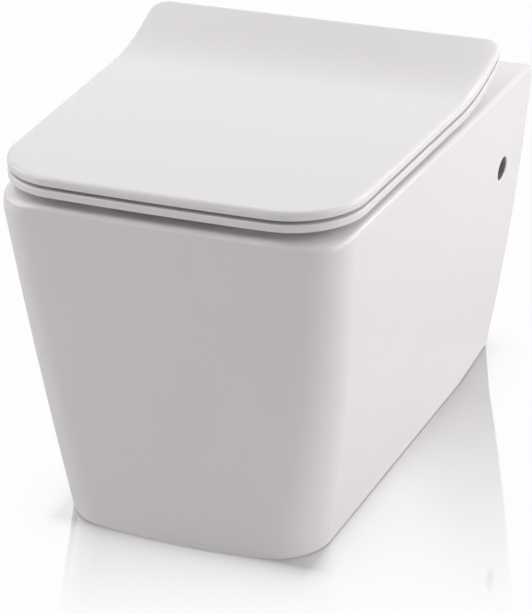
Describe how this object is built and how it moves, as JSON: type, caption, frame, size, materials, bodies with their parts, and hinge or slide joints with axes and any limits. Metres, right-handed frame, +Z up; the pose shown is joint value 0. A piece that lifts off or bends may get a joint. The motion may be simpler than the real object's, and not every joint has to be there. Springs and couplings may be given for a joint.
{
  "type": "wall hung toilet",
  "caption": "Rimless-looking rectangular wall hung toilet pan with a slim soft-close seat and a lid that sweeps up toward the wall.",
  "frame": {"origin": "on the wall plane, midway between the two wall stud holes", "axes": "+X to the right of someone facing the wall, +Y into the wall, +Z up"},
  "size_m": [0.3832, 0.5045, 0.3959],
  "materials": {
    "ceramic": "gloss",
    "seat_plastic": "gloss",
    "hinge_plastic": "matte",
    "damper_plastic": "matte",
    "chrome_trim": "polished",
    "steel": "satin",
    "black_rubber": "matte",
    "buffer_rubber": "satin"
  },
  "bodies": {
    "pan": {"pan_shell": "ceramic", "rim_deck": "ceramic", "bowl": "ceramic", "sump": "ceramic", "trapway": "ceramic", "flush_duct": "ceramic", "inlet_socket": "ceramic", "rear_frame": "ceramic", "inlet_seal": "black_rubber", "stud_sleeves": "hinge_plastic", "fixing_brackets": "steel", "clamp_screws": "steel", "seat_studs": "steel", "expansion_plugs": "black_rubber", "plug_nuts": "steel", "base_plates": "steel", "cover_caps": "chrome_trim", "hinge_posts": "steel"},
    "hinge_carrier": {"hinge_block_left": "hinge_plastic", "hinge_block_right": "hinge_plastic", "lid_damper_shaft": "steel", "lid_pin": "steel", "seat_damper_shaft": "steel", "seat_pin": "steel", "button_spring_left": "steel", "button_spring_right": "steel"},
    "button_left": {"release_button_left": "chrome_trim"},
    "button_right": {"release_button_right": "chrome_trim"},
    "seat": {"seat_ring": "seat_plastic", "seat_arms": "hinge_plastic", "seat_arm_screws": "steel", "seat_buffers": "buffer_rubber", "seat_damper": "damper_plastic", "seat_bush": "hinge_plastic"},
    "lid": {"lid_panel": "seat_plastic", "lid_arms": "hinge_plastic", "lid_arm_screws": "steel", "lid_buffers": "buffer_rubber", "lid_damper": "damper_plastic", "lid_bush": "hinge_plastic"}
  },
  "joints": [
    {"name": "seat_lift", "type": "slide", "parent": "pan", "child": "hinge_carrier", "axis": [0, 0, 1], "range_m": [0, 0.026]},
    {"name": "seat_hinge", "type": "hinge", "parent": "hinge_carrier", "child": "seat", "pos_m": [0, -0.057, 0.117], "axis": [-1, 0, 0], "range_deg": [0, 93]},
    {"name": "lid_hinge", "type": "hinge", "parent": "seat", "child": "lid", "pos_m": [0, -0.057, 0.117], "axis": [-1, 0, 0], "range_deg": [0, 95]},
    {"name": "release_left", "type": "slide", "parent": "hinge_carrier", "child": "button_left", "axis": [0, -1, 0], "range_m": [0, 0.0025], "stiffness_N_per_m": 600, "springref_m": -0.002, "deforming": ["button_spring_left"]},
    {"name": "release_right", "type": "slide", "parent": "hinge_carrier", "child": "button_right", "axis": [0, -1, 0], "range_m": [0, 0.0025], "stiffness_N_per_m": 600, "springref_m": -0.002, "deforming": ["button_spring_right"]}
  ]
}
